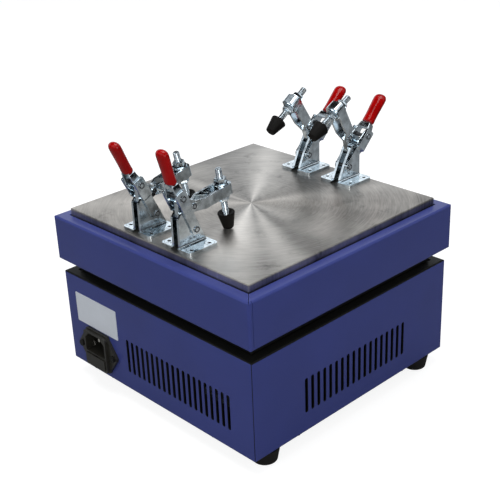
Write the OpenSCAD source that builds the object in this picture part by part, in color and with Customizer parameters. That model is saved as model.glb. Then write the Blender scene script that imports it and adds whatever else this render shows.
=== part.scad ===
// Heating platform with four toggle clamps.
// Z is up, the origin is the centre of the work face. The controls face -Y, the mains inlet +Y.

/* [Housings] */
// Outside width of the upper housing
upper_w = 220; // [216:0.5:236]
// Height of the upper housing
upper_h = 37.5; // [34:0.5:50]
// How far each wall of the lower housing stands in from the upper one
lower_inset = 2.2; // [1:0.1:4]
// Height of the lower housing
lower_h = 81; // [76:0.5:110]
// Height of the dark gap between the housings
neck_gap = 10; // [8:0.5:20]
// How far the neck stands in from the flange round it
neck_clear = 1; // [0.6:0.1:4]
// Thickness of the housing sheet
sheet = 1.2; // [1:0.1:1.5]
// Outer radius of the bends in the sheet
bend_r = 2.4; // [2:0.1:3]
// Width of the turned-in flanges
return_flange = 8; // [7.6:0.1:9]
// Clearance between a housing wall and what sits inside it
seat_clear = 0.3; // [0.2:0.05:0.5]
// Width of the butt seam at the upper housing's corner
seam_w = 0.4; // [0.2:0.1:0.8]
// Height of a rubber foot below the lower housing
foot_h = 12; // [10:0.5:16]
// Diameter at a foot's top
foot_top_d = 23; // [21:0.5:24]
// Diameter at a foot's bottom
foot_bottom_d = 19; // [18:0.5:20.5]

/* [Heating plate] */
// Width of the rim round the heating plate
rim_w = 9; // [8:0.5:13]
// Thickness of the heating plate
plate_t = 18; // [16:0.5:20]
// Height of the work face above the upper housing's rim
plate_proud = 5.6; // [3:0.1:7]
// Gap between the plate's edge and the rim
plate_gap = 1; // [0.5:0.1:2]
// Chamfer round the work face
plate_edge = 0.6; // [0.3:0.1:1.2]
// Diameter of a heater rod
rod_d = 9.8; // [8:0.1:10]
// Radial clearance of a heater rod in its bore
rod_clear = 0.1; // [0.05:0.01:0.2]
// Length of a rod's ceramic end outside the plate
rod_cap = 3; // [2:0.5:5]
// Diameter of the thermocouple
probe_d = 3; // [2:0.1:4]
// Length of the thermocouple inside the plate
probe_len = 90; // [40:1:98]
// Height of the heat tray's rim
tray_h = 14; // [10:0.5:16]
// Thickness of the insulation board
insulation_t = 10; // [6:0.5:12]
// Diameter of a plate post
post_d = 10; // [8:0.5:11]
// Distance of the plate posts from the middle, front to back
post_y = 70; // [60:1:80]

/* [Vents] */
// Width of a vent slot
slot_w = 3.1; // [2.2:0.1:3.4]
// Height of a vent slot
slot_h = 28.8; // [20:0.2:34]
// Height of the slots' lower ends above the lower housing's bottom
slot_low = 16.9; // [12:0.1:24]
// Number of slots in the back
rear_slots = 20; // [12:1:21]
// Spacing of the back's slots
rear_pitch = 5.97; // [5:0.01:6]
// Middle of the back's row of slots
rear_row_x = -26; // [-30:0.5:-24]
// Number of slots in each side
side_slots = 18; // [10:1:20]
// Spacing of the sides' slots
side_pitch = 6.45; // [5:0.05:8]

/* [Mains inlet] */
// Middle of the inlet, left to right
inlet_x = 68.3; // [64:0.1:76]
// Height of the inlet's middle above the lower housing's bottom
inlet_mid = 22.7; // [20:0.1:24]
// Width over the inlet's screw ears
inlet_w = 48; // [46:0.5:50]
// Height of the inlet's flange
inlet_h = 33.6; // [33:0.1:36]
// Distance between the inlet's two screws
inlet_screws = 40; // [38:0.5:42]
// Thickness of the inlet's flange
inlet_flange = 2.5; // [2:0.1:3.5]
// How far the inlet's raised block stands out of the housing
inlet_proud = 5; // [4:0.1:7]
// Depth of the socket
socket_deep = 17; // [15:0.5:20]
// Width of the rating plate
label_w = 52; // [40:0.5:52]
// Height of the rating plate
label_h = 25.6; // [20:0.1:26]
// Height of the rating plate's middle above the lower housing's bottom
label_mid = 53.3; // [53:0.1:58]

/* [Controls] */
// Middle of the temperature controller, left to right
controller_x = -38; // [-55:1:-30]
// Height of the controls' middle above the lower housing's bottom
control_mid = 42; // [34:0.5:48]
// Width of the controller's square front
controller_w = 48; // [44:0.5:50]
// Depth of the controller behind the panel
controller_deep = 70; // [50:1:90]
// How far the controller's front stands out
controller_proud = 5; // [3:0.5:8]
// Travel of a key
key_travel = 0.6; // [0.3:0.1:0.9]
// Clearance round a key
key_clear = 0.3; // [0.2:0.05:0.4]
// Middle of the power switch, left to right
switch_x = 52; // [40:1:70]
// Tilt of the rocker either way from level
rocker_tilt = 10; // [8:0.5:12]

/* [Clamp places] */
// Distance of each clamp from the middle, left to right
clamp_x = 22; // [20:0.25:23]
// How far the back clamps stand in from the plate's edge
rear_clamp_in = 4.5; // [2:0.5:10]
// How far the front clamps stand in from the plate's edge
front_clamp_in = 1.5; // [1.5:0.5:10]
// Opening of each clamp's arm as it stands, in degrees from locked
arm_open = [0, 4, 48.5, 53.8];

/* [Clamp base] */
// Length of the base's flanges
flange_len = 27.5; // [26:0.5:30]
// How far the flanges reach out to each side
flange_reach = 16; // [14:0.5:18]
// Thickness of the base's two stamped halves
web_t = 2; // [1.6:0.1:2.4]
// Radius of the ear round the arm's pivot
ear_r = 4.5; // [4:0.1:5]
// Distance of the flange screws from the middle, across
flange_screw_y = 12.2; // [11.8:0.1:13]
// Place of the rear flange screws along the base
flange_screw_rear = 4.2; // [3.5:0.1:6]
// Place of the front flange screws along the base
flange_screw_front = 21; // [19:0.5:23]
// Gap between neighbouring moving plates
side_gap = 0.25; // [0.2:0.05:0.35]

/* [Clamp linkage] */
// Height of the arm's pivot above the work face
arm_pivot_z = 24.7; // [24:0.1:28]
// Place of the arm's pivot along the base
arm_pivot_x = 7.5; // [6.5:0.5:8.5]
// Height of the link's lower pivot
link_pivot_z = 12.6; // [12:0.1:14]
// Place of the link's lower pivot along the base
link_pivot_x = 15; // [14:0.5:16]
// How far the locked link stops short of its dead centre
toggle_short = 0.08; // [0.05:0.01:0.3]
// Radius of the pivot pins
pin_r = 1.5; // [1.2:0.1:1.7]
// Radial running clearance of a pivot
pin_clear = 0.08; // [0.04:0.01:0.1]
// Radial play of the handle's upper hole round the link's rivet
play = 0.65; // [0.6:0.05:1.2]
// Angle of the locked arm above level
arm_locked = 8.7; // [6:0.1:10]

/* [Clamp arm] */
// Depth of the arm's bar
bar_h = 8.3; // [7:0.1:9]
// Outside width of the arm's bar
bar_w = 12.6; // [12:0.1:14]
// Thickness of the arm's sheet
arm_t = 2; // [1.6:0.1:2.1]
// Place of the spindle along the arm
spindle_x = 39.2; // [32:0.2:42]
// Length of the arm beyond the spindle
arm_nose = 6.3; // [6:0.1:8]

/* [Clamp handle] */
// Thickness of the handle's and the link's sheet
handle_t = 1.5; // [1.2:0.1:1.8]
// Height of the grip's lower end above the handle's upper hole
grip_low = 12; // [10.5:0.5:14]
// Length of the grip
grip_len = 26; // [20:0.5:34]
// Width of the grip, across
grip_w = 11; // [10:0.1:13]
// Depth of the grip, front to back
grip_t = 7.5; // [6.5:0.1:9]
// Thickness of the grip's vinyl
grip_wall = 0.8; // [0.6:0.1:1.2]

/* [Clamp spindle] */
// Diameter of the spindle
spindle_d = 5; // [4:0.1:5.4]
// Height of the spindle's top above the bar's middle
spindle_top = 17; // [14:0.5:24]
// Width of the spindle's nuts across their flats
nut_flats = 8; // [7:0.1:9]
// Height of the spindle's nuts
nut_h = 4; // [3:0.1:4.5]
// Diameter of the flanged washers
washer_d = 11.6; // [11:0.1:13]
// Diameter of the rubber tip at its top
tip_top_d = 13; // [11:0.1:15]
// Diameter of the rubber tip at its bottom
tip_bottom_d = 8.2; // [7:0.1:10]
// Length of the rubber tip
tip_len = 12.6; // [11:0.1:13]
// Clearance under the tip of a locked clamp
tip_clear = 0.3; // [0.2:0.05:0.6]

/* [Hidden] */
$fn = 48;

blue = "#343A72";
black = "#1E1E20";
zinc = "#C9CED3";
steel = "#B4B2AE";
rubber = "#1A1816";
red = "#B0120E";

// Heights, worked out downwards from the work face
z_rim = -plate_proud;
z_upper = z_rim - upper_h;
z_lower_top = z_upper - neck_gap;
z_lower = z_lower_top - lower_h;
z_floor = z_lower - foot_h;

lower_w = upper_w - 2 * lower_inset;
rim_opening = upper_w - 2 * rim_w;
plate_w = rim_opening - 2 * plate_gap;
rear_clamp_y = plate_w / 2 - rear_clamp_in;
front_clamp_y = plate_w / 2 - front_clamp_in;
neck_w = lower_w - 2 * return_flange - 2 * neck_clear;
base_w = lower_w - 2 * bend_r - 2 * seat_clear;
tray_w = upper_w - 2 * sheet - 2 * seat_clear;
tray_floor = z_upper + 2 * sheet;
base_top = z_lower + 2 * sheet;
cut = 1;
tuck = 0.01;

// Screws and nuts, as radius and height
hole_clear = 0.15;
m3_r = 1.5;
m3_head = [2.6, 1.8];
m3_nut = [3.1, 2.4];
m4_r = 2;
m4_head = [3.8, 2.6];
m4_nut = [4, 3.2];
sunk_head_r = 3.6;
hex_socket = 2.9;
flange_screw_in = return_flange - m3_head.x;
flange_screw_span = 60;
tapping_len = 3;
neck_screw_xy = neck_w / 2 - bend_r - m3_head.x - 0.3;
foot_x = lower_w / 2 - foot_top_d / 2 - 0.3;
foot_y = foot_x - 9;
foot_bore = 7;
foot_bore_r = m4_head.x + 0.7;
foot_round = 1.5;
foot_spigot_r = foot_top_d / 2 - return_flange - 0.2;

// Heater rods lie between the flange screws of the clamps
rod_pitch = 2 * clamp_x;
rod_cap_r = rod_d / 2 - 2;
rod_z = z_rim - sheet - 0.5 - rod_cap_r;
post_x = 1.5 * rod_pitch + rod_d / 2 + m4_r + 3;
post_stud = 7;
post_h = -plate_t - tray_floor;

// Mains inlet, measured from its middle on the outside of the back wall
inlet_z = z_lower + inlet_mid;
block_w = 28;
block_h = inlet_h - 2.6;
socket_w = 24.5;
socket_h = 16.6;
socket_z = block_h / 2 - socket_h / 2 - 1.4;
inlet_body_w = 27;
inlet_body_h = 30;
inlet_body_deep = 27;
prong_w = 2;
prong_h = 4;
prong_len = 12.5;
prong_tail = 8;
prong_places = [[-7, -2.2], [7, -2.2], [0, 3.2]];
drawer_w = 22;
drawer_h = 7.6;
drawer_deep = 25;
drawer_lip = 1.6;
drawer_face = 0.7;
drawer_z = socket_z - socket_h / 2 - drawer_h / 2 - 2.4;
drawer_clear = 0.2;
fuse_d = 5;
fuse_len = 20;

// Controls, measured from their middle on the outside of the front wall
control_z = z_lower + control_mid;
controller_body = controller_w - 3.6;
window_w = controller_w - 9;
window_h = 20;
window_z = 9;
window_deep = 1.4;
key_w = 8;
key_h = 5.4;
key_pitch = 10;
key_z = -14;
key_well = 5;
key_proud = 0.8;
switch_w = 15;
switch_h = 21;
switch_body_w = 13;
switch_body_h = 18.8;
switch_deep = 18;
rocker_w = 10.2;
rocker_half = 7.4;
rocker_pivot = 3;
rocker_face = 0.8;
bezel_t = 2;

// Relay and terminal block on the base plate
relay_base = [45, 58];
relay_base_t = 4;
relay_body = [45, 42, 19];
relay_y = lower_w / 2 - relay_base.y / 2 - 33.8;
relay_screw = [14, 24];
relay_screw_r = 3.4;
relay_screw_h = 4;
block_ways = 6;
block_pitch = 9.5;
block_size = [block_ways * block_pitch, 22, 10];
block_x = 32;
block_y = lower_w / 2 - block_size.y / 2 - 56.8;
block_wall = [1.4, 17];
block_bore_r = 2.6;

// Layers of a clamp, as distances from its middle
root_half = arm_t + 0.05;
web_in = root_half + side_gap;
web_out = web_in + web_t;
wing_in = web_out + side_gap;
wing_out = wing_in + handle_t;
pad_in = wing_out + side_gap;
pad_out = pad_in + handle_t;
rivet_head_r = 2.4;
rivet_head_h = 0.7;

// Pivots of a clamp in its own plane: x forwards, y up
arm_pivot = [arm_pivot_x, arm_pivot_z];
link_pivot = [link_pivot_x, link_pivot_z];
arm_to_handle = [0.9, 8.5];
handle_low_hole = [2.0, -6.9];
arm_rivet = [10.5, 2.2];
wing_r = 3.9;
wing_top_r = 4.6;
pad_half = 4.5;
pad_top = 5.5;
strip_half = 3.8;
strip_end_r = 4;
joggle_len = 2.2;
pad_low = norm(handle_low_hole) + wing_r + 0.3;
flange_back = -1;
web_back = 0.5;
web_front = 24.5;
web_corner_r = 2;
fillet_r = 1.6;
flange_corner_r = 3;
hinge_axis_z = 1.8;
splay_start = 11;
splay_end = 18;
bar_low = hinge_axis_z - bar_h / 2;
bar_high = hinge_axis_z + bar_h / 2;
lever_back = -3.7;
lever_front = 2.3;
lever_mid = (lever_back + lever_front) / 2;
lever_half = grip_w / 2 - grip_wall;
lever_top = grip_low + grip_len - 3.4;
core_half = lever_half - 1;
core_t = grip_t - 2 * grip_wall - 1.3;
core_back = lever_mid - core_t / 2;
core_front = lever_mid + core_t / 2;
core_low = grip_low - 0.3;
lever_high = core_low - 0.9;
lever_web_low = 5.2;
washer_t = 1;
washer_hub = 1.2;
thread_clear = 0.08;
tip_bottom_z = (tip_clear - arm_pivot_z - (spindle_x - tip_bottom_d / 2) * sin(arm_locked)) / cos(arm_locked);
tip_embed = 7;

// A vector turned by an angle, anticlockwise
function turned(v, a) = [v.x * cos(a) - v.y * sin(a), v.x * sin(a) + v.y * cos(a)];
function direction(v) = atan2(v.y, v.x);

// Where the linkage stands when the arm is at angle e above level: the handle's pivot on the arm, then the
// link's upper pivot, where the link's circle meets the handle's, and the two leans, backwards from upright
function handle_pivot(e) = arm_pivot + turned(arm_to_handle, e);
link_len = norm(handle_pivot(arm_locked) - link_pivot) + norm(handle_low_hole) - toggle_short;
function link_top(e) =
    let (
        span = handle_pivot(e) - link_pivot,
        d = norm(span),
        along = (d * d + pow(link_len, 2) - pow(norm(handle_low_hole), 2)) / (2 * d),
        across = sqrt(pow(link_len, 2) - along * along)
    )
    link_pivot + along * span / d + across * turned(span / d, 90);
function handle_lean(e) = direction(handle_pivot(e) - link_top(e)) - direction(handle_low_hole);
function link_lean(e) = direction(link_top(e) - link_pivot) - 90;

// Plane shapes

module rounded_rect(size, r) {
    square([size.x - 2 * r, size.y], center = true);
    square([size.x, size.y - 2 * r], center = true);
    for (x = [-1, 1], y = [-1, 1])
        translate([x * (size.x / 2 - r), y * (size.y / 2 - r)]) circle(r);
}

// Two discs and the band between them, whose corners lie a hair inside the discs' rims
module strap(p1, r1, p2, r2) {
    aim = direction(p2 - p1);
    open = acos((r1 - r2) / norm(p2 - p1));
    reach1 = [r1 - tuck, 0];
    reach2 = [r2 - tuck, 0];
    translate(p1) circle(r1);
    translate(p2) circle(r2);
    polygon([
        p1 + turned(reach1, aim - open), p2 + turned(reach2, aim - open),
        p2 + turned(reach2, aim + open), p1 + turned(reach1, aim + open)
    ]);
}

// An outline in X and Z, made solid from y0 to y1
module side_solid(y0, y1) {
    translate([0, y1, 0]) rotate([90, 0, 0]) linear_extrude(y1 - y0) children();
}

// An outline in Y and Z, made solid from x0 to x1
module front_solid(x0, x1) {
    translate([x0, 0, 0]) rotate([90, 0, 90]) linear_extrude(x1 - x0) children();
}

module both_sides() {
    children();
    mirror([0, 1, 0]) children();
}

module four_corners(x, y) {
    for (sx = [-1, 1], sy = [-1, 1]) translate([sx * x, sy * y, 0]) children();
}

// Housings

// A square block with every edge bent round, standing on z = 0
module folded_block(w, h, r) {
    intersection() {
        linear_extrude(h) rounded_rect([w, w], r);
        translate([0, 0, h / 2]) side_solid(-w, w) rounded_rect([w, h], r);
        translate([0, 0, h / 2]) front_solid(-w, w) rounded_rect([w, h], r);
    }
}

// A folded sheet-metal ring with turned-in flanges at its top and bottom
module folded_ring(w, h, top_opening, bottom_opening) {
    difference() {
        folded_block(w, h, bend_r);
        translate([0, 0, sheet]) folded_block(w - 2 * sheet, h - 2 * sheet, bend_r - sheet);
        translate([0, 0, h]) cube([top_opening, top_opening, 4 * sheet], center = true);
        cube([bottom_opening, bottom_opening, 4 * sheet], center = true);
    }
}

// Places of the screws in a flange: two on each side of a ring of width w
module flange_screw_places(w) {
    for (a = [0:90:270], s = [-1, 1])
        rotate([0, 0, a]) translate([w / 2 - flange_screw_in, s * flange_screw_span, 0]) children();
}

module drill(r, z, depth) {
    translate([0, 0, z - depth / 2]) cylinder(r = r, h = depth);
}

module slot_outline() {
    end = slot_h / 2 - slot_w / 2;
    square([slot_w, 2 * end], center = true);
    for (s = [-1, 1])
        translate([0, s * end]) circle(d = slot_w, $fn = 16);
}

module vent_row(count, pitch) {
    for (i = [0:count - 1])
        translate([(i - (count - 1) / 2) * pitch, 0, z_lower + slot_low + slot_h / 2])
            side_solid(-2 * sheet, 2 * sheet) slot_outline();
}

module lower_housing() {
    color(blue) difference() {
        translate([0, 0, z_lower])
            folded_ring(lower_w, lower_h, lower_w - 2 * return_flange, lower_w - 2 * return_flange);
        translate([rear_row_x, lower_w / 2, 0]) vent_row(rear_slots, rear_pitch);
        for (s = [-1, 1])
            translate([s * lower_w / 2, 0, 0]) rotate([0, 0, 90]) vent_row(side_slots, side_pitch);
        translate([inlet_x, lower_w / 2, inlet_z])
            cube([inlet_body_w + 2 * seat_clear, 4 * sheet, inlet_body_h + 2 * seat_clear], center = true);
        for (s = [-1, 1])
            translate([inlet_x + s * inlet_screws / 2, lower_w / 2, inlet_z])
                rotate([90, 0, 0]) drill(m3_r + hole_clear, 0, 4 * sheet);
        translate([controller_x, -lower_w / 2, control_z])
            cube([controller_body + 2 * seat_clear, 4 * sheet, controller_body + 2 * seat_clear], center = true);
        translate([switch_x, -lower_w / 2, control_z])
            cube([switch_body_w + 2 * seat_clear, 4 * sheet, switch_body_h + 2 * seat_clear], center = true);
        flange_screw_places(lower_w) drill(m3_r + hole_clear, z_lower, 4 * sheet);
    }
}

module upper_housing() {
    color(blue) difference() {
        translate([0, 0, z_upper])
            folded_ring(upper_w, upper_h, rim_opening, upper_w - 2 * return_flange);
        flange_screw_places(upper_w) drill(m3_r + hole_clear, z_upper, 4 * sheet);
        corner_seam();
    }
}

// The sheet's two ends meet at one corner: a mitre through the rim's flange, then a line down the side wall
module corner_seam() {
    seam_y = upper_w / 2 - bend_r - sheet;
    translate([-rim_opening / 2 + sheet, rim_opening / 2 - sheet, z_rim - sheet - cut / 2])
        rotate([0, 0, 135]) translate([0, -seam_w / 2, 0]) cube([upper_w, seam_w, sheet + cut]);
    translate([-upper_w / 2 - cut, seam_y, z_upper + bend_r])
        cube([sheet + 1.5 * cut, seam_w, upper_h]);
}

module base_plate() {
    color(black) difference() {
        translate([0, 0, z_lower + sheet]) linear_extrude(sheet) rounded_rect([base_w, base_w], bend_r);
        four_corners(foot_x, foot_y) drill(m4_r + hole_clear, base_top, 4 * sheet);
        flange_screw_places(lower_w) drill(m3_r + hole_clear, base_top, 4 * sheet);
    }
}

module deck_plate() {
    wire_hole_r = 15;
    color(black) difference() {
        translate([0, 0, z_lower_top - 2 * sheet]) linear_extrude(sheet) rounded_rect([base_w, base_w], bend_r);
        drill(wire_hole_r, z_lower_top, 6 * sheet);
        four_corners(neck_screw_xy, neck_screw_xy) drill(m3_r + hole_clear, z_lower_top, 6 * sheet);
    }
}

module neck_frame() {
    opening = neck_w - 2 * return_flange;
    color(black) difference() {
        translate([0, 0, z_lower_top - sheet]) folded_ring(neck_w, neck_gap + 2 * sheet, opening, opening);
        for (z = [z_lower_top, z_upper])
            four_corners(neck_screw_xy, neck_screw_xy) drill(m3_r + hole_clear, z, 4 * sheet);
    }
}

module heat_tray() {
    wire_hole_r = 12;
    color(black) difference() {
        translate([0, 0, z_upper + sheet]) intersection() {
            difference() {
                folded_block(tray_w, 2 * tray_h, bend_r);
                translate([0, 0, sheet]) folded_block(tray_w - 2 * sheet, 2 * tray_h, bend_r - sheet);
            }
            translate([0, 0, tray_h / 2]) cube([upper_w, upper_w, tray_h], center = true);
        }
        drill(wire_hole_r, tray_floor, 4 * sheet);
        four_corners(neck_screw_xy, neck_screw_xy) drill(m3_r + hole_clear, tray_floor, 4 * sheet);
        four_corners(post_x, post_y) drill(m4_r + hole_clear, tray_floor, 4 * sheet);
        flange_screw_places(upper_w) drill(m3_r + hole_clear, tray_floor, 4 * sheet);
    }
}

// A moulded foot, against the flange, with a spigot that reaches up to the base plate beside the flange's edge
module foot() {
    low_r = foot_bottom_d / 2;
    rotate_extrude() difference() {
        union() {
            polygon([[0, foot_round], [low_r, foot_round], [foot_top_d / 2, foot_h], [0, foot_h]]);
            square([low_r - foot_round, foot_h]);
            translate([low_r - foot_round, foot_round]) circle(foot_round);
            square([foot_spigot_r, foot_h + sheet]);
        }
        translate([0, -cut]) square([m4_r + hole_clear, foot_h + sheet + 2 * cut]);
        translate([0, -cut]) square([foot_bore_r, foot_bore + cut]);
    }
}

module feet() {
    color(rubber) translate([0, 0, z_floor]) four_corners(foot_x, foot_y) foot();
}

// A screw whose head sits on z = 0, with its shank going up through a stack and a nut on top of it
module screw_and_nut(r, head, nut, stack) {
    translate([0, 0, -head.y]) cylinder(r = head.x, h = head.y);
    cylinder(r = r, h = stack + nut.y + 0.8);
    translate([0, 0, stack]) cylinder(r = nut.x, h = nut.y, $fn = 6);
}

// A sheet-metal screw: like the one above, without a nut
module tapping_screw(r, head, stack) {
    translate([0, 0, -head.y]) cylinder(r = head.x, h = head.y);
    cylinder(r = r, h = stack + tapping_len);
}

module case_screws() {
    color(black) {
        translate([0, 0, z_floor + foot_bore]) four_corners(foot_x, foot_y)
            screw_and_nut(m4_r, m4_head, m4_nut, base_top - z_floor - foot_bore);
        translate([0, 0, z_lower]) flange_screw_places(lower_w) tapping_screw(m3_r, m3_head, 2 * sheet);
        translate([0, 0, z_upper]) flange_screw_places(upper_w) tapping_screw(m3_r, m3_head, 2 * sheet);
        translate([0, 0, z_lower_top]) mirror([0, 0, 1])
            four_corners(neck_screw_xy, neck_screw_xy) screw_and_nut(m3_r, m3_head, m3_nut, 2 * sheet);
        translate([0, 0, z_upper]) four_corners(neck_screw_xy, neck_screw_xy)
            screw_and_nut(m3_r, m3_head, m3_nut, 2 * sheet);
        translate([0, 0, z_upper + sheet]) four_corners(post_x, post_y)
            tapping_screw(m4_r, m4_head, sheet + post_stud - tapping_len);
        for (s = [-1, 1])
            translate([inlet_x + s * inlet_screws / 2, lower_w / 2 + inlet_flange, inlet_z]) rotate([90, 0, 0])
                screw_and_nut(m3_r, m3_head, m3_nut, inlet_flange + sheet);
    }
}

// Heating

module heating_plate() {
    side = [
        [-plate_w / 2, -plate_t], [plate_w / 2, -plate_t], [plate_w / 2, -plate_edge],
        [plate_w / 2 - plate_edge, 0], [-plate_w / 2 + plate_edge, 0], [-plate_w / 2, -plate_edge]
    ];
    color(steel) difference() {
        intersection() {
            translate([0, 0, -plate_t]) linear_extrude(plate_t) rounded_rect([plate_w, plate_w], 1);
            side_solid(-plate_w, plate_w) polygon(side);
            front_solid(-plate_w, plate_w) polygon(side);
        }
        for (i = [-1.5:1:1.5])
            translate([i * rod_pitch, -plate_w / 2, rod_z]) rotate([-90, 0, 0])
                translate([0, 0, -cut]) cylinder(r = rod_d / 2 + rod_clear, h = plate_w - 5 + cut);
        translate([0, -plate_w / 2 - cut, rod_z]) rotate([-90, 0, 0])
            cylinder(r = probe_d / 2 + rod_clear, h = probe_len + cut);
        translate([0, 0, -plate_t - cut]) four_corners(post_x, post_y)
            cylinder(r = m4_r + hole_clear, h = post_stud + 0.5 + cut);
        clamp_flange_holes() translate([0, 0, -7]) cylinder(r = m4_r + hole_clear, h = 7 + cut);
    }
}

module plate_posts() {
    color(zinc) translate([0, 0, tray_floor]) four_corners(post_x, post_y) {
        difference() {
            union() {
                cylinder(d = post_d, h = post_h);
                cylinder(r = m4_r, h = post_h + post_stud);
            }
            translate([0, 0, -cut]) cylinder(r = m4_r + hole_clear, h = post_stud + 1 + cut);
        }
    }
}

module heater_rods() {
    color(steel) for (i = [-1.5:1:1.5])
        translate([i * rod_pitch, -plate_w / 2 - rod_cap, rod_z]) rotate([-90, 0, 0]) {
            cylinder(r = rod_cap_r, h = rod_cap);
            translate([0, 0, rod_cap - 1]) cylinder(d = rod_d, h = plate_w - 5);
        }
}

module insulation_board() {
    board_w = tray_w - 2 * bend_r - 1;
    color("#D8D2C4") difference() {
        translate([0, 0, tray_floor]) linear_extrude(insulation_t) rounded_rect([board_w, board_w], 2);
        four_corners(post_x, post_y) drill(post_d / 2 + 0.5, tray_floor, 4 * insulation_t);
        four_corners(neck_screw_xy, neck_screw_xy) drill(m3_nut.x + 0.5, tray_floor, 4 * insulation_t);
        flange_screw_places(upper_w) drill(m3_r + 1, tray_floor, 4 * insulation_t);
        drill(8, tray_floor, 4 * insulation_t);
    }
}

module thermocouple() {
    color(steel) translate([0, -plate_w / 2, rod_z]) rotate([-90, 0, 0]) {
        translate([0, 0, -4]) cylinder(d = probe_d, h = probe_len + 3.7);
        translate([0, 0, -5.5]) cylinder(d = probe_d + 1.6, h = 5);
    }
}

// Mains inlet

// Moves to the inlet's middle on the back wall and turns the plane upright: x to the right as the wall is
// seen from behind, y up, z outwards
module at_inlet() {
    translate([inlet_x, lower_w / 2, inlet_z]) rotate([90, 0, 180]) children();
}

module socket_outline(w, h) {
    corner = 5;
    polygon([
        [-w / 2, -h / 2], [w / 2, -h / 2], [w / 2, h / 2 - corner], [w / 2 - corner, h / 2],
        [-w / 2 + corner, h / 2], [-w / 2, h / 2 - corner]
    ]);
}

module inlet_flange_outline() {
    ear_r_out = (inlet_w - inlet_screws) / 2;
    rounded_rect([block_w, inlet_h], 2);
    for (s = [-1, 1], t = [-1, 1])
        strap([s * inlet_screws / 2, 0], ear_r_out, [s * (block_w / 2 - 3), t * (inlet_h / 2 - 3)], 3);
    square([inlet_screws, 4], center = true);
}

module inlet_socket() {
    color(black) at_inlet() difference() {
        union() {
            linear_extrude(inlet_flange) inlet_flange_outline();
            linear_extrude(inlet_proud) rounded_rect([block_w, block_h], 2);
            translate([0, 0, -inlet_body_deep]) linear_extrude(inlet_body_deep)
                rounded_rect([inlet_body_w, inlet_body_h], 1);
        }
        translate([0, socket_z, inlet_proud - socket_deep]) linear_extrude(socket_deep + cut)
            socket_outline(socket_w, socket_h);
        for (p = prong_places)
            translate([p.x, p.y + socket_z, -inlet_body_deep])
                cube([prong_w, prong_h, 4 * inlet_body_deep], center = true);
        for (s = [-1, 1])
            translate([s * inlet_screws / 2, 0, 0]) drill(m3_r + hole_clear, 0, 4 * inlet_flange);
        translate([0, drawer_z, inlet_proud - drawer_deep]) linear_extrude(drawer_deep + cut)
            square([drawer_w + 2 * drawer_clear, drawer_h + 2 * drawer_clear], center = true);
        translate([0, drawer_z, inlet_proud - drawer_lip]) linear_extrude(drawer_lip + cut)
            square([drawer_w + 2, drawer_h + 1.6], center = true);
    }
}

module inlet_pins() {
    color(zinc) at_inlet() for (p = prong_places)
        translate([p.x, p.y + socket_z, inlet_proud - socket_deep + prong_len]) mirror([0, 0, 1])
            linear_extrude(prong_len + inlet_body_deep + inlet_proud - socket_deep + prong_tail)
                square([prong_w, prong_h], center = true);
}

module fuse_drawer() {
    pocket = fuse_d + 0.4;
    pocket_start = -drawer_deep + drawer_clear + 1.6;
    at_inlet() translate([0, drawer_z, inlet_proud]) {
        color(black) difference() {
            union() {
                translate([0, 0, -drawer_deep + drawer_clear]) linear_extrude(drawer_deep - drawer_clear)
                    square([drawer_w, drawer_h], center = true);
                translate([0, 0, -drawer_lip + drawer_clear]) linear_extrude(drawer_lip + drawer_face)
                    rounded_rect([drawer_w + 1.6, drawer_h + 1.2], 0.5);
            }
            translate([-pocket / 2, -fuse_d / 2, pocket_start]) cube([pocket, drawer_h, fuse_len + 0.6]);
            translate([0, drawer_h / 2 + 0.4, -1]) rotate([0, 90, 0]) cylinder(r = 1.6, h = 8, center = true);
        }
        color(steel) translate([0, 0, pocket_start + 0.3]) cylinder(d = fuse_d, h = fuse_len);
    }
}

module rating_plate() {
    color("#DADCE0") translate([inlet_x, lower_w / 2, z_lower + label_mid])
        side_solid(0, 0.4) rounded_rect([label_w, label_h], 0.8);
}

// Controls

// Moves to a control's middle on the front wall and turns the plane upright: x to the right as the wall is
// seen from the front, y up, z outwards
module at_front(x) {
    translate([x, -lower_w / 2, control_z]) rotate([90, 0, 0]) children();
}

module key_places(n) {
    translate([(n - 1.5) * key_pitch, key_z, 0]) children();
}

module controller_case() {
    color(black) at_front(controller_x) difference() {
        union() {
            linear_extrude(controller_proud) rounded_rect([controller_w, controller_w], 2);
            translate([0, 0, -controller_deep]) linear_extrude(controller_deep)
                rounded_rect([controller_body, controller_body], 1);
        }
        translate([0, window_z, controller_proud - window_deep]) linear_extrude(window_deep + cut)
            rounded_rect([window_w + 0.4, window_h + 0.4], 1);
        for (n = [0:3]) key_places(n)
            translate([0, 0, controller_proud - key_well]) linear_extrude(key_well + cut)
                rounded_rect([key_w + 2 * key_clear, key_h + 2 * key_clear], 1);
    }
}

module controller_window() {
    color("#2A0A0A") at_front(controller_x) translate([0, window_z, controller_proud - window_deep])
        linear_extrude(window_deep) rounded_rect([window_w, window_h], 0.8);
}

module key(n) {
    gap = key_travel + 0.2;
    color("#4A4C50") at_front(controller_x) key_places(n)
        translate([0, 0, controller_proud - key_well + gap]) linear_extrude(key_well - gap + key_proud)
            rounded_rect([key_w, key_h], 0.7);
}

module key_set() {
    key(0);
}

module key_shift() {
    key(1);
}

module key_down() {
    key(2);
}

module key_up() {
    key(3);
}

module switch_frame() {
    well_deep = rocker_pivot + 6;
    color(black) at_front(switch_x) difference() {
        union() {
            linear_extrude(bezel_t) rounded_rect([switch_w, switch_h], 1.5);
            translate([0, 0, -switch_deep]) linear_extrude(switch_deep)
                rounded_rect([switch_body_w, switch_body_h], 0.6);
        }
        translate([0, 0, -well_deep]) linear_extrude(well_deep + bezel_t + cut)
            square([rocker_w + 2 * seat_clear, switch_body_h - 2], center = true);
        translate([0, 0, -rocker_pivot]) rotate([0, 90, 0])
            cylinder(r = 1 + pin_clear, h = switch_body_w - 0.6, center = true);
    }
}

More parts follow.
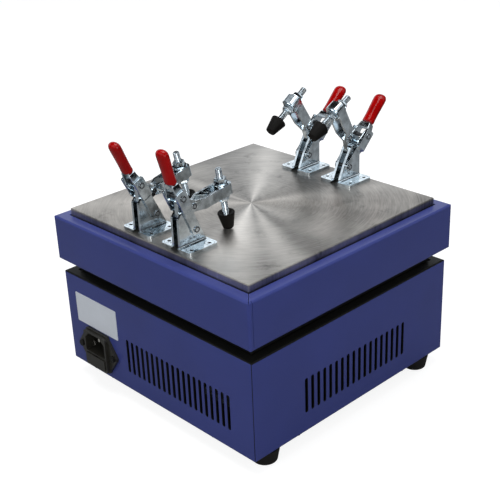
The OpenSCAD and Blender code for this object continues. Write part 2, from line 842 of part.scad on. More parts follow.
// The rocker as it stands at off, tipped about its own pins
module switch_rocker() {
    lip = rocker_face + rocker_half * tan(rocker_tilt);
    color("#8E1210") at_front(switch_x) translate([0, 0, -rocker_pivot]) rotate([rocker_tilt, 0, 0]) {
        front_solid(-rocker_w / 2, rocker_w / 2) polygon([
            [0, rocker_pivot + rocker_face], [rocker_half, rocker_pivot + lip], [rocker_half - 0.2, -0.5],
            [4, -3.5], [-4, -3.5], [0.2 - rocker_half, -0.5], [-rocker_half, rocker_pivot + lip]
        ]);
        rotate([0, 90, 0]) cylinder(r = 1, h = switch_body_w - 0.8, center = true);
    }
}

module relay() {
    color("#55595E") translate([controller_x, relay_y, base_top]) {
        linear_extrude(relay_base_t) rounded_rect(relay_base, 1);
        translate([0, 0, relay_base_t]) {
            linear_extrude(relay_body.z) rounded_rect([relay_body.x, relay_body.y], 1);
            four_corners(relay_screw.x, relay_screw.y) cylinder(r = relay_screw_r, h = relay_screw_h);
        }
    }
}

module terminal_block() {
    color("#C8C6BE") translate([block_x, block_y, base_top]) difference() {
        union() {
            linear_extrude(block_size.z) square([block_size.x, block_size.y], center = true);
            for (i = [0:block_ways])
                translate([(i - block_ways / 2) * (block_pitch - 0.2), 0, 0]) linear_extrude(block_wall.y)
                    square([block_wall.x, block_size.y], center = true);
        }
        for (i = [0:block_ways - 1], s = [-1, 1])
            translate([(i - (block_ways - 1) / 2) * block_pitch, s * block_size.y / 4, block_size.z / 2])
                cylinder(r = block_bore_r, h = block_wall.y);
    }
}

// Toggle clamps

// Stands a clamp on the work face: clamps 1 and 2 at the back, 3 and 4 at the front, all looking inwards
module at_clamp(n) {
    back = n < 3;
    left = n == 1 || n == 4;
    translate([left ? -clamp_x : clamp_x, back ? rear_clamp_y : -front_clamp_y, 0])
        rotate([0, 0, back ? -90 : 90]) children();
}

module clamp_flange_holes() {
    for (n = [1:4], x = [flange_screw_rear, flange_screw_front], s = [-1, 1])
        at_clamp(n) translate([x, s * flange_screw_y, 0]) children();
}

// Moves to a point in the clamp's plane and leans backwards by an angle
module at_pivot(p, lean) {
    translate([p.x, 0, p.y]) rotate([0, -lean, 0]) children();
}

module cross_hole(p, r) {
    translate([p.x, 0, p.y]) rotate([90, 0, 0]) cylinder(r = r, h = 40, center = true);
}

function arm_angle(n) = arm_locked + arm_open[n - 1];

// Outline of a base half's upright web
module web_outline() {
    shoulder = [web_back + web_corner_r, arm_pivot_z - web_corner_r];
    toe = [web_front - 1, web_t + 1];
    strap(shoulder, web_corner_r, arm_pivot, ear_r);
    strap(arm_pivot, ear_r, link_pivot, ear_r);
    strap(link_pivot, ear_r, toe, 1);
    polygon([[web_back, 0], [web_front, 0], [web_front, toe.y], link_pivot, arm_pivot, shoulder,
        [web_back, shoulder.y]]);
}

// Section of a base half: web and flange with the bend between them
module base_section() {
    bend = web_t + fillet_r;
    difference() {
        union() {
            translate([web_in, 0]) square([web_t, arm_pivot_z + 2 * ear_r]);
            translate([web_in, 0]) square([flange_reach - web_in, web_t]);
            translate([web_in, 0]) square([bend, bend]);
        }
        translate([web_in + bend, bend]) circle(fillet_r);
        difference() {
            translate([web_in - cut, -cut]) square([bend + cut, bend + cut]);
            translate([web_in + bend, bend]) circle(bend);
            translate([web_in + bend, -cut]) square([bend, 2 * bend]);
            translate([web_in, bend]) square([bend, bend]);
        }
    }
}

module clamp_base(n) {
    color(zinc) at_clamp(n) both_sides() difference() {
        intersection() {
            front_solid(flange_back, flange_back + flange_len) base_section();
            union() {
                side_solid(web_in, web_out + fillet_r) web_outline();
                linear_extrude(web_t) translate([flange_back + flange_len / 2, 0])
                    rounded_rect([flange_len, 2 * flange_reach], flange_corner_r);
            }
        }
        cross_hole(arm_pivot, pin_r + 0.02);
        cross_hole(link_pivot, pin_r + 0.02);
        for (x = [flange_screw_rear, flange_screw_front])
            translate([x, flange_screw_y, 0]) countersunk(hole_clear);
    }
}

// The base's own rivets and flange screws, for all four clamps
module clamp_fasteners() {
    color(zinc) {
        for (n = [1:4]) at_clamp(n) {
            cross_pin(arm_pivot, pin_r, web_out);
            cross_pin(link_pivot, pin_r, wing_out + 0.1);
            both_sides() translate([link_pivot.x, wing_out + 0.1, link_pivot.y]) rotate([-90, 0, 0])
                cylinder(r = rivet_head_r, h = rivet_head_h);
        }
        clamp_flange_holes() difference() {
            countersunk(0);
            translate([0, 0, web_t + 0.2]) cylinder(d = hex_socket, h = 2.6, center = true, $fn = 6);
        }
    }
}

// A countersunk flange screw, flush with the flange's top; with a clearance, the hole that takes it
module countersunk(clear) {
    cone = sunk_head_r - m4_r;
    translate([0, 0, -6]) cylinder(r = m4_r + clear, h = 6 + web_t);
    translate([0, 0, web_t - cone]) cylinder(r1 = m4_r + clear, r2 = sunk_head_r + clear, h = cone + 0.01);
}

module cross_pin(p, r, half) {
    translate([p.x, 0, p.y]) rotate([90, 0, 0]) cylinder(r = r, h = 2 * half, center = true);
}

// Side outline of the arm: eyes for the two pivots and the rivet, then the straight bar
module arm_side(tip) {
    strap([0, 0], ear_r, arm_to_handle, wing_r + 0.1);
    strap([0, 0], ear_r, arm_rivet, bar_h / 2);
    strap(arm_to_handle, wing_r + 0.1, arm_rivet, bar_h / 2);
    polygon([[0, 0], arm_rivet, arm_to_handle]);
    translate([arm_rivet.x, bar_low]) square([tip - arm_rivet.x, bar_h]);
}

// Plan of the arm: flat root plates, splayed out to the two sides of a U that closes round the spindle
module arm_plan(tip) {
    half = bar_w / 2;
    inner = half - arm_t;
    shift = arm_t * tan(direction([splay_end - splay_start, half - root_half]) / 2);
    nose_r = 3.5;
    difference() {
        union() {
            polygon([
                [-2 * ear_r, -root_half], [splay_start, -root_half], [splay_end, -half], [tip - nose_r, -half],
                [tip - nose_r, half], [splay_end, half], [splay_start, root_half], [-2 * ear_r, root_half]
            ]);
            translate([tip - nose_r - 1, 0]) rounded_rect([2 * nose_r + 2, bar_w], nose_r);
        }
        polygon([
            [splay_start + shift, 0], [splay_end + shift, -inner], [tip - nose_r - 1, -inner],
            [tip - nose_r - 1, inner], [splay_end + shift, inner]
        ]);
        translate([tip - nose_r - 1, 0]) rounded_rect([2 * (nose_r + 1 - arm_t), 2 * inner], nose_r - arm_t);
    }
}

module clamp_arm(n) {
    tip = spindle_x + arm_nose;
    color(zinc) at_clamp(n) at_pivot(arm_pivot, arm_angle(n)) {
        difference() {
            intersection() {
                translate([0, 0, bar_low - 2 * ear_r]) linear_extrude(4 * bar_h + 2 * ear_r) arm_plan(tip);
                side_solid(-bar_w, bar_w) arm_side(tip);
            }
            cross_hole([0, 0], pin_r + pin_clear);
            cross_hole(arm_to_handle, pin_r + pin_clear);
        }
        both_sides() translate([arm_rivet.x, root_half, arm_rivet.y]) rotate([-90, 0, 0])
            cylinder(r = 2.2, h = 0.8);
    }
}

// Front outline of the handle: wide wings below, the lever, and above it the narrower core of the grip
module handle_front(inward) {
    low = handle_low_hole.y - 2 * wing_r;
    wing = wing_out - inward;
    lever = lever_half - inward;
    core = core_half - inward;
    polygon([
        [-wing, low], [wing, low], [wing, pad_top + 0.5], [lever, lever_high], [core, core_low],
        [core, lever_top], [-core, lever_top], [-core, core_low], [-lever, lever_high], [-wing, pad_top + 0.5]
    ]);
}

// Side outline of the handle: a wing with two holes, then the lever and the grip's core above it
module handle_side() {
    strap([0, 0], wing_top_r, handle_low_hole, wing_r);
    polygon([
        [0.4 - wing_top_r, 0], [wing_top_r - 0.4, 0], [lever_front, lever_web_low + 3],
        [lever_front, lever_high], [core_front, core_low], [core_front, lever_top],
        [core_back, lever_top], [core_back, core_low], [lever_back, lever_high], [lever_back, lever_web_low]
    ]);
}

module clamp_handle(n) {
    e = arm_angle(n);
    color(zinc) at_clamp(n) at_pivot(link_top(e), handle_lean(e)) {
        difference() {
            intersection() {
                side_solid(-wing_out, wing_out) handle_side();
                front_solid(-20, 20) handle_front(0);
            }
            intersection() {
                side_solid(-wing_out, wing_out) polygon([
                    [-20, -20], [20, -20], [20, lever_web_low], [lever_front - handle_t, lever_web_low],
                    [lever_front - handle_t, lever_high], [core_front - handle_t, core_low],
                    [core_front - handle_t, lever_top + cut], [-20, lever_top + cut]
                ]);
                front_solid(-30, 30) handle_front(handle_t);
            }
            cross_hole([0, 0], pin_r + play);
        }
        cross_pin(handle_low_hole, pin_r, wing_out - 0.3);
    }
}

// Red vinyl grip, dipped over the lever: oval in plan, domed at its top
module clamp_grip(n) {
    e = arm_angle(n);
    top = grip_low + grip_len;
    color(red) at_clamp(n) at_pivot(link_top(e), handle_lean(e)) difference() {
        intersection() {
            translate([lever_mid, 0, grip_low]) linear_extrude(grip_len)
                rounded_rect([grip_t, grip_w], grip_t / 2 - 0.1);
            side_solid(-grip_w, grip_w) translate([lever_mid, top - grip_len])
                rounded_rect([grip_t, 2 * grip_len], grip_t / 2 - 0.6);
            front_solid(-30, 30) translate([0, top - grip_len])
                rounded_rect([grip_w, 2 * grip_len], grip_w / 2 - 0.6);
        }
        translate([core_back, -core_half, grip_low - cut]) cube([core_t, 2 * core_half, lever_top - grip_low + cut]);
    }
}

// Side outline of one link strap: round lower eye, narrow strip, broad pad round the upper rivet
module link_side() {
    step = link_len - pad_low;
    circle(strip_end_r);
    translate([-strip_half, 0]) square([2 * strip_half, step]);
    translate([0, step - joggle_len / 2 + (pad_low + pad_top + joggle_len / 2) / 2])
        rounded_rect([2 * pad_half, pad_low + pad_top + joggle_len / 2], 1);
}

// Front outline of one link strap: against the wings above, joggled in against the web below
module link_front() {
    step = link_len - pad_low;
    low = -2 * strip_end_r;
    high = link_len + pad_top;
    polygon([
        [wing_in, low], [wing_out, low], [wing_out, step - joggle_len], [pad_out, step], [pad_out, high],
        [pad_in, high], [pad_in, step], [wing_in, step - joggle_len]
    ]);
}

module clamp_link(n) {
    e = arm_angle(n);
    color(zinc) at_clamp(n) at_pivot(link_pivot, link_lean(e)) {
        both_sides() difference() {
            intersection() {
                side_solid(0, 2 * pad_out) link_side();
                front_solid(-20, 20) link_front();
            }
            cross_hole([0, 0], pin_r + pin_clear);
        }
        cross_pin([0, link_len], pin_r, pad_out);
        both_sides() translate([0, pad_out, link_len]) rotate([-90, 0, 0])
            cylinder(r = rivet_head_r, h = rivet_head_h);
    }
}

// Moves to the spindle's axis at the middle of the arm's bar
module at_spindle(n) {
    at_clamp(n) at_pivot(arm_pivot, arm_angle(n)) translate([spindle_x, 0, hinge_axis_z]) children();
}

module clamp_spindle(n) {
    low = tip_bottom_z - hinge_axis_z + tip_len - tip_embed;
    color(zinc) at_spindle(n) {
        translate([0, 0, low]) cylinder(d = spindle_d, h = spindle_top - 0.6 - low);
        translate([0, 0, spindle_top - 0.6]) cylinder(d1 = spindle_d, d2 = spindle_d - 1.2, h = 0.6);
    }
}

// Flanged washer under a hex nut, standing on z = 0 with its hub reaching down into the slot
module washer_and_nut() {
    hub_r = min(bar_w / 2, arm_nose) - arm_t - 0.2;
    difference() {
        union() {
            translate([0, 0, -washer_hub]) cylinder(r = hub_r, h = washer_hub);
            cylinder(d = washer_d, h = washer_t);
            translate([0, 0, washer_t]) intersection() {
                cylinder(d = nut_flats / cos(30), h = nut_h, $fn = 6);
                cylinder(r1 = nut_flats / 2 + 2, r2 = nut_flats / 2 + 0.1, h = nut_h);
            }
        }
        drill(spindle_d / 2 + thread_clear, 0, 20);
    }
}

module clamp_nuts(n) {
    color(zinc) at_spindle(n) {
        translate([0, 0, bar_h / 2]) washer_and_nut();
        mirror([0, 0, 1]) translate([0, 0, bar_h / 2]) washer_and_nut();
    }
}

// Rubber tip, turned: a cone that widens upwards, dished round the spindle
module clamp_tip(n) {
    top_r = tip_top_d / 2;
    low_r = tip_bottom_d / 2;
    color(rubber) at_spindle(n) translate([0, 0, tip_bottom_z - hinge_axis_z]) rotate_extrude() polygon([
        [0, 0], [low_r - 0.6, 0], [low_r, 0.6], [top_r, tip_len - 0.8], [top_r - 0.8, tip_len],
        [top_r - 2, tip_len], [spindle_d / 2 + 0.02, tip_len - 1.6], [spindle_d / 2 + 0.02, tip_len - tip_embed],
        [0, tip_len - tip_embed]
    ]);
}

lower_housing();
base_plate();
feet();
case_screws();
deck_plate();
neck_frame();
heat_tray();
upper_housing();
heating_plate();
plate_posts();
heater_rods();
insulation_board();
thermocouple();
inlet_socket();
inlet_pins();
fuse_drawer();
rating_plate();
controller_case();
controller_window();
key_set();
key_shift();
key_down();
key_up();
switch_frame();
switch_rocker();
relay();
terminal_block();
clamp_fasteners();
clamp_base(1);  // clamp_1_base
clamp_arm(1);  // clamp_1_arm
clamp_handle(1);  // clamp_1_handle
clamp_grip(1);  // clamp_1_grip
clamp_link(1);  // clamp_1_link
clamp_spindle(1);  // clamp_1_spindle
clamp_nuts(1);  // clamp_1_nuts
clamp_tip(1);  // clamp_1_tip
clamp_base(2);  // clamp_2_base
clamp_arm(2);  // clamp_2_arm
clamp_handle(2);  // clamp_2_handle
clamp_grip(2);  // clamp_2_grip
clamp_link(2);  // clamp_2_link
clamp_spindle(2);  // clamp_2_spindle
clamp_nuts(2);  // clamp_2_nuts
clamp_tip(2);  // clamp_2_tip
clamp_base(3);  // clamp_3_base
clamp_arm(3);  // clamp_3_arm
clamp_handle(3);  // clamp_3_handle
clamp_grip(3);  // clamp_3_grip
clamp_link(3);  // clamp_3_link
clamp_spindle(3);  // clamp_3_spindle
clamp_nuts(3);  // clamp_3_nuts
clamp_tip(3);  // clamp_3_tip
clamp_base(4);  // clamp_4_base
clamp_arm(4);  // clamp_4_arm
clamp_handle(4);  // clamp_4_handle
clamp_grip(4);  // clamp_4_grip
clamp_link(4);  // clamp_4_link
clamp_spindle(4);  // clamp_4_spindle
clamp_nuts(4);  // clamp_4_nuts
clamp_tip(4);  // clamp_4_tip
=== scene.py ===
"""Looks of a heating platform with four toggle clamps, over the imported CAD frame."""

import math

import bpy
from mathutils import Matrix, Vector


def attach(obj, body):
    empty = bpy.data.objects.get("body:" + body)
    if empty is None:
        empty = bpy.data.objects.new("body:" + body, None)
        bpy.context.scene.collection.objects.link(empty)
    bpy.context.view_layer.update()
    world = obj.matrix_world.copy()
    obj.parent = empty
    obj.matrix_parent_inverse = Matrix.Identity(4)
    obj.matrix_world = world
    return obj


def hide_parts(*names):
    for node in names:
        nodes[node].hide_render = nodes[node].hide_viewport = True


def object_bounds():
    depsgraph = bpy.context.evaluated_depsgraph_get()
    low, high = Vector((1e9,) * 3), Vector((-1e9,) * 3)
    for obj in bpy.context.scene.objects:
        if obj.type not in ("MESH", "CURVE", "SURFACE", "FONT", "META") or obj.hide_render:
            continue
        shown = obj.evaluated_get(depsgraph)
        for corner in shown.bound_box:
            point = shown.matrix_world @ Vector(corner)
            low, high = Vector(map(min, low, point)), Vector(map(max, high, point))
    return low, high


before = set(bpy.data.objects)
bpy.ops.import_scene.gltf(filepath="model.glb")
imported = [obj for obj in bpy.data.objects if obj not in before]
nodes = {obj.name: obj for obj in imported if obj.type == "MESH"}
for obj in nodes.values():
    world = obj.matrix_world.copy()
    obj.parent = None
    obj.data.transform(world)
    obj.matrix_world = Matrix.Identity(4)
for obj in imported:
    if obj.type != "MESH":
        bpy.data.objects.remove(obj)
cad_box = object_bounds()
bpy.ops.object.select_all(action="DESELECT")


# The two housings are folded from 1.2 mm mild steel sheet and powder coated in one dark blue.
# The upper one has a butt seam at one corner; the lower one has punched vent slots.

# Sizes of the pieces are in millimetres, and MM turns them into the scene's metres
MM = 0.001
SEAM = 0.001
HOUSING_EDGE = 0.3
EDGE_STEPS = 2
SAME_PLANE = math.radians(0.5)
SHARP = math.radians(35)
CREASE = math.radians(32)
GRAIN_DEPTH = 0.1
FLOAT = "NodeSocketFloat"
COLOUR = "NodeSocketColor"


def start_material(name, colour, roughness, metallic=0.0):
    """A material with constants on its shader's own sockets."""
    material = bpy.data.materials.new(name)
    material.use_nodes = True
    shader = material.node_tree.nodes["Principled BSDF"]
    shader.inputs["Base Color"].default_value = (*colour, 1)
    shader.inputs["Roughness"].default_value = roughness
    shader.inputs["Metallic"].default_value = metallic
    return material, material.node_tree, shader


def new_group(name, ins, outs):
    """An empty node group with float or colour sockets."""
    group = bpy.data.node_groups.new(name, "ShaderNodeTree")
    for label, kind in ins:
        group.interface.new_socket(label, in_out="INPUT", socket_type=kind)
    for label, kind in outs:
        group.interface.new_socket(label, in_out="OUTPUT", socket_type=kind)
    return group, group.nodes.new("NodeGroupInput"), group.nodes.new("NodeGroupOutput")


def make_mottle_group():
    """Fine grain and slow clouding: a colour, a roughness and a height that change over a surface."""
    group, take, give = new_group(
        "surface_mottle",
        [("Color", COLOUR), ("Shade", FLOAT), ("Cloud Scale", FLOAT), ("Grain Scale", FLOAT),
         ("Roughness", FLOAT), ("Swing", FLOAT), ("Wave", FLOAT)],
        [("Color", COLOUR), ("Roughness", FLOAT), ("Height", FLOAT)],
    )
    link = group.links.new
    place = group.nodes.new("ShaderNodeTexCoord")
    cloud = group.nodes.new("ShaderNodeTexNoise")
    cloud.inputs["Detail"].default_value = 4
    grain = group.nodes.new("ShaderNodeTexNoise")
    grain.inputs["Detail"].default_value = 2
    for texture, scale in ((cloud, "Cloud Scale"), (grain, "Grain Scale")):
        link(place.outputs["Object"], texture.inputs["Vector"])
        link(take.outputs[scale], texture.inputs["Scale"])
    # Noise lies mostly between 0.3 and 0.7, which becomes -1 to 1
    level = group.nodes.new("ShaderNodeMapRange")
    level.inputs["From Min"].default_value = 0.3
    level.inputs["From Max"].default_value = 0.7
    level.inputs["To Min"].default_value = -1
    link(cloud.outputs["Fac"], level.inputs["Value"])
    gain = group.nodes.new("ShaderNodeMath")
    gain.operation = "MULTIPLY_ADD"
    gain.inputs[2].default_value = 1
    link(level.outputs["Result"], gain.inputs[0])
    link(take.outputs["Shade"], gain.inputs[1])
    tone = group.nodes.new("ShaderNodeVectorMath")
    tone.operation = "SCALE"
    link(take.outputs["Color"], tone.inputs[0])
    link(gain.outputs["Value"], tone.inputs["Scale"])
    rough = group.nodes.new("ShaderNodeMath")
    rough.operation = "MULTIPLY_ADD"
    link(level.outputs["Result"], rough.inputs[0])
    link(take.outputs["Swing"], rough.inputs[1])
    link(take.outputs["Roughness"], rough.inputs[2])
    height = group.nodes.new("ShaderNodeMath")
    height.operation = "MULTIPLY_ADD"
    link(cloud.outputs["Fac"], height.inputs[0])
    link(take.outputs["Wave"], height.inputs[1])
    link(grain.outputs["Fac"], height.inputs[2])
    link(tone.outputs["Vector"], give.inputs["Color"])
    link(rough.outputs["Value"], give.inputs["Roughness"])
    link(height.outputs["Value"], give.inputs["Height"])
    return group


mottle = make_mottle_group()


def mottled(name, colour, roughness, metallic=0.0, shade=0.05, cloud=30, grain=900, swing=0.04, bump=0.1,
            specular=0.5, wave=0.0):
    """A material whose tone, gloss and grain vary slightly, as any worked surface does."""
    material, tree, shader = start_material(name, colour, roughness, metallic)
    shader.inputs["Specular IOR Level"].default_value = specular
    finish = tree.nodes.new("ShaderNodeGroup")
    finish.node_tree = mottle
    values = {"Color": (*colour, 1), "Shade": shade, "Cloud Scale": cloud, "Grain Scale": grain,
              "Roughness": roughness, "Swing": swing, "Wave": wave}
    for socket, value in values.items():
        finish.inputs[socket].default_value = value
    relief = tree.nodes.new("ShaderNodeBump")
    relief.inputs["Strength"].default_value = bump
    relief.inputs["Distance"].default_value = GRAIN_DEPTH * MM
    tree.links.new(finish.outputs["Color"], shader.inputs["Base Color"])
    tree.links.new(finish.outputs["Roughness"], shader.inputs["Roughness"])
    tree.links.new(finish.outputs["Height"], relief.inputs["Height"])
    tree.links.new(relief.outputs["Normal"], shader.inputs["Normal"])
    return material


def paint(node, material):
    """Gives a CAD node its finish through its object's own slots."""
    for place in nodes[node].material_slots:
        place.material = material


def round_edges(piece, edge):
    """Breaks every sharp edge by a small radius and shades the piece smooth between its creases."""
    bevel = piece.modifiers.new("broken_edges", "BEVEL")
    bevel.width = edge * MM
    bevel.segments = EDGE_STEPS
    bevel.limit_method = "ANGLE"
    bevel.angle_limit = SHARP
    bevel.harden_normals = True
    bpy.ops.object.shade_smooth_by_angle(angle=CREASE)
    bpy.ops.object.modifier_apply(modifier=bevel.name)


def crisp_copy(node, body, material, edge, merge=SEAM):
    """A copy of a CAD node with its seams merged and its sheet edges broken, as tumbling leaves them."""
    piece = nodes[node].copy()
    piece.data = nodes[node].data.copy()
    piece.name = node + "_finished"
    for key in list(piece.keys()):
        del piece[key]
    piece.parent = None
    bpy.context.scene.collection.objects.link(piece)
    bpy.context.view_layer.objects.active = piece
    piece.select_set(True)
    bpy.ops.mesh.customdata_custom_splitnormals_clear()
    bpy.ops.object.mode_set(mode="EDIT")
    bpy.ops.mesh.select_all(action="SELECT")
    bpy.ops.mesh.remove_doubles(threshold=merge * MM)
    bpy.ops.mesh.dissolve_limited(angle_limit=SAME_PLANE)
    bpy.ops.object.mode_set(mode="OBJECT")
    round_edges(piece, edge)
    piece.data.materials.clear()
    piece.data.materials.append(material)
    piece.select_set(False)
    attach(piece, body)
    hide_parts(node)
    return piece


powder_blue = mottled("powder_blue", (0.038, 0.051, 0.212), 0.4, shade=0.06, cloud=22, grain=1500,
                      bump=0.12, specular=0.22)
gloss = powder_blue.node_tree.nodes["Principled BSDF"].inputs
gloss["Coat Weight"].default_value = 0.12
gloss["Coat Roughness"].default_value = 0.12
crisp_copy("upper_housing", "root", powder_blue, HOUSING_EDGE)
lower_housing = crisp_copy("lower_housing", "root", powder_blue, HOUSING_EDGE)


# The neck between the housings, the deck, the base plate and the heat tray are black painted steel. The
# lower housing's top flange is given the same black, and its inside faces and slot walls take it too as
# painted shade, so that the vent slots read dark. The case screws are blackened, and a ceramic-fibre board
# lies in the tray.

FACES_UP = 0.9
FLANGE_SKIN = 0.1
WALL_SKIN = 0.45

satin_black_and_shade = mottled("satin_black_and_shade", (0.007, 0.007, 0.006), 0.55, shade=0.15, grain=1200, specular=0.2)
for node in ("neck_frame", "deck_plate", "base_plate", "heat_tray", "case_screws"):
    paint(node, satin_black_and_shade)
sheet = lower_housing.data
sheet.materials.append(satin_black_and_shade)
wall_outside = max(point.co.x for point in sheet.vertices)
flange_top = max(point.co.z for point in sheet.vertices)
for face in sheet.polygons:
    middle = face.center
    on_flange = face.normal.z > FACES_UP and middle.z > flange_top - FLANGE_SKIN * MM
    # Faces inside the wall's outer skin, slot walls among them, get the black as painted shade
    inside = max(abs(middle.x), abs(middle.y)) < wall_outside - WALL_SKIN * MM
    if on_flange or inside:
        face.material_index = 1
paint("insulation_board", mottled("ceramic_fibre", (0.66, 0.62, 0.54), 0.9, shade=0.1, grain=700, bump=0.5))


# Four moulded rubber feet, wider at the top. Each is held to the base plate by a screw up through its
# counterbore.

foot_rubber = mottled("foot_rubber", (0.008, 0.007, 0.006), 0.6, shade=0.2, cloud=60, grain=1100,
                      specular=0.3)
paint("feet", foot_rubber)


# The heating plate is cast aluminium, face-turned on top. The facing tool leaves rings round the middle,
# which throw light back in fans; fans of light and dark are also painted into its colour as painted
# reflection. Handling has smeared and stained it.

PLATE_TONE = (0.52, 0.49, 0.455)
# Distances from the middle between which the plate grows darker
DARKER_FROM = 80
DARKER_TO = 140
# Each fan of painted reflection as its heading in degrees, its sharpness and its strength; a negative
# strength paints it darker
LIGHT_FANS = (
    (126, 70, 0.75), (150, 150, 0.3), (308, 130, 0.4), (2, 160, 0.4), (182, 50, 0.2), (240, 90, 0.12),
    (162, 200, -0.2), (275, 12, -0.2), (141, 400, -0.15), (218, 20, -0.1), (331, 28, -0.3), (40, 14, 0.35),
)


def vector_step(tree, operation, first, second=None):
    """A vector calculation on an output, with a constant or another output as its second input."""
    step = tree.nodes.new("ShaderNodeVectorMath")
    step.operation = operation
    tree.links.new(first, step.inputs[0])
    if isinstance(second, tuple):
        step.inputs[1].default_value = second
    elif second is not None:
        tree.links.new(second, step.inputs[1])
    return step


def scaled(tree, vector, factor):
    """A vector output made longer or shorter by a constant."""
    step = vector_step(tree, "SCALE", vector)
    step.inputs["Scale"].default_value = factor
    return step.outputs["Vector"]


def weigh(tree, source, weight, base):
    """A value output times its weight, added to a base that is a number or another output."""
    step = tree.nodes.new("ShaderNodeMath")
    step.operation = "MULTIPLY_ADD"
    step.inputs[1].default_value = weight
    tree.links.new(source, step.inputs[0])
    if isinstance(base, float):
        step.inputs[2].default_value = base
    else:
        tree.links.new(base, step.inputs[2])
    return step.outputs["Value"]


def noise(tree, vector, scale, detail, roughness=0.5):
    """Noise that changes along a vector."""
    texture = tree.nodes.new("ShaderNodeTexNoise")
    texture.inputs["Scale"].default_value = scale
    texture.inputs["Detail"].default_value = detail
    texture.inputs["Roughness"].default_value = roughness
    tree.links.new(vector, texture.inputs["Vector"])
    return texture.outputs["Fac"]


def rings(tree, radius, scale, detail):
    """Noise that changes only with the distance from the middle."""
    texture = tree.nodes.new("ShaderNodeTexNoise")
    texture.noise_dimensions = "1D"
    texture.inputs["Scale"].default_value = scale
    texture.inputs["Detail"].default_value = detail
    tree.links.new(radius, texture.inputs["W"])
    return texture.outputs["Fac"]


def rise(tree, source, start, end):
    """A value that goes from 0 to 1 while its source goes from start to end."""
    step = tree.nodes.new("ShaderNodeMapRange")
    step.inputs["From Min"].default_value = start
    step.inputs["From Max"].default_value = end
    tree.links.new(source, step.inputs["Value"])
    return step.outputs["Result"]


def tool_arcs(tree, around, radius):
    """Short bright arcs along the rings: noise that changes fast outwards and slowly round."""
    outwards = tree.nodes.new("ShaderNodeMath")
    outwards.operation = "MULTIPLY"
    outwards.inputs[1].default_value = 750
    tree.links.new(radius, outwards.inputs[0])
    lift = tree.nodes.new("ShaderNodeCombineXYZ")
    tree.links.new(outwards.outputs["Value"], lift.inputs["Z"])
    path = vector_step(tree, "ADD", scaled(tree, around, 7), lift.outputs["Vector"])
    return noise(tree, path.outputs["Vector"], 1, 3)


def light_fan(tree, around, heading, sharpness):
    """A fan of painted reflection from the middle towards a heading, narrower the higher its sharpness."""
    aim = (math.cos(math.radians(heading)), math.sin(math.radians(heading)), 0)
    facing = vector_step(tree, "DOT_PRODUCT", around, aim)
    ahead = tree.nodes.new("ShaderNodeMath")
    ahead.operation = "MAXIMUM"
    ahead.inputs[1].default_value = 0
    tree.links.new(facing.outputs["Value"], ahead.inputs[0])
    fan = tree.nodes.new("ShaderNodeMath")
    fan.operation = "POWER"
    fan.inputs[1].default_value = sharpness
    tree.links.new(ahead.outputs["Value"], fan.inputs[0])
    return fan.outputs["Value"]


def make_plate_metal():
    """Face-turned aluminium, with its tone built up from rings, arcs, smears, stains and painted reflection
    fans.
    """
    material, tree, shader = start_material("faced_aluminium", (0.5, 0.49, 0.47), 0.38, 1.0)
    link = tree.links.new
    place = tree.nodes.new("ShaderNodeTexCoord").outputs["Object"]
    flat = vector_step(tree, "MULTIPLY", place, (1, 1, 0)).outputs["Vector"]
    radius = vector_step(tree, "LENGTH", flat).outputs["Value"]
    around = vector_step(tree, "NORMALIZE", flat).outputs["Vector"]
    fine = rings(tree, radius, 1300, 3)
    broad = rings(tree, radius, 110, 2)
    # Noise round the middle: a painted reflection in the tone, and a change of gloss
    fans = noise(tree, around, 2.4, 5)
    smear = noise(tree, place, 16, 5)
    stain = rise(tree, noise(tree, place, 48, 6, 0.7), 0.56, 0.72)
    outer = rise(tree, radius, DARKER_FROM * MM, DARKER_TO * MM)
    arcs = tool_arcs(tree, around, radius)

    # Each mark is weighed into the tone, and the fans of painted reflection last
    tone = -0.5
    for mark, weight in ((outer, -0.16), (arcs, 0.5), (stain, -0.3), (fine, 0.22), (broad, 0.15),
                         (fans, 0.4), (smear, 1.2)):
        tone = weigh(tree, mark, weight, tone)
    for heading, sharpness, strength in LIGHT_FANS:
        tone = weigh(tree, light_fan(tree, around, heading, sharpness), strength, tone)
    colour = tree.nodes.new("ShaderNodeVectorMath")
    colour.operation = "SCALE"
    colour.inputs[0].default_value = PLATE_TONE
    link(tone, colour.inputs["Scale"])
    link(colour.outputs["Vector"], shader.inputs["Base Color"])
    roughness = weigh(tree, smear, 0.16, weigh(tree, fans, -0.1, 0.36))
    link(roughness, shader.inputs["Roughness"])
    relief = tree.nodes.new("ShaderNodeBump")
    relief.inputs["Strength"].default_value = 0.25
    relief.inputs["Distance"].default_value = GRAIN_DEPTH * MM
    link(fine, relief.inputs["Height"])
    link(relief.outputs["Normal"], shader.inputs["Normal"])
    # The tool's marks run along the rings and stretch the highlights across them
    lay = tree.nodes.new("ShaderNodeVectorMath")
    lay.operation = "CROSS_PRODUCT"
    lay.inputs[0].default_value = (0, 0, 1)
    link(around, lay.inputs[1])
    link(lay.outputs["Vector"], shader.inputs["Tangent"])
    shader.inputs["Anisotropic"].default_value = 0.6
    return material


paint("heating_plate", make_plate_metal())


# Four cartridge heaters in stainless sheaths slide into bores of the plate, and a thin thermocouple sits
# in a bore of its own.

stainless = mottled("stainless", (0.5, 0.49, 0.47), 0.35, 1.0)
for node in ("heater_rods", "thermocouple"):
    paint(node, stainless)


# A black moulded mains inlet with two screw ears, its plated pins and a fuse drawer. The controller's
# case and the switch's frame are of the same plastic. Above the inlet is a bare white rating plate.

MOULDED_EDGE = 0.3
DRAWER_EDGE = 0.2

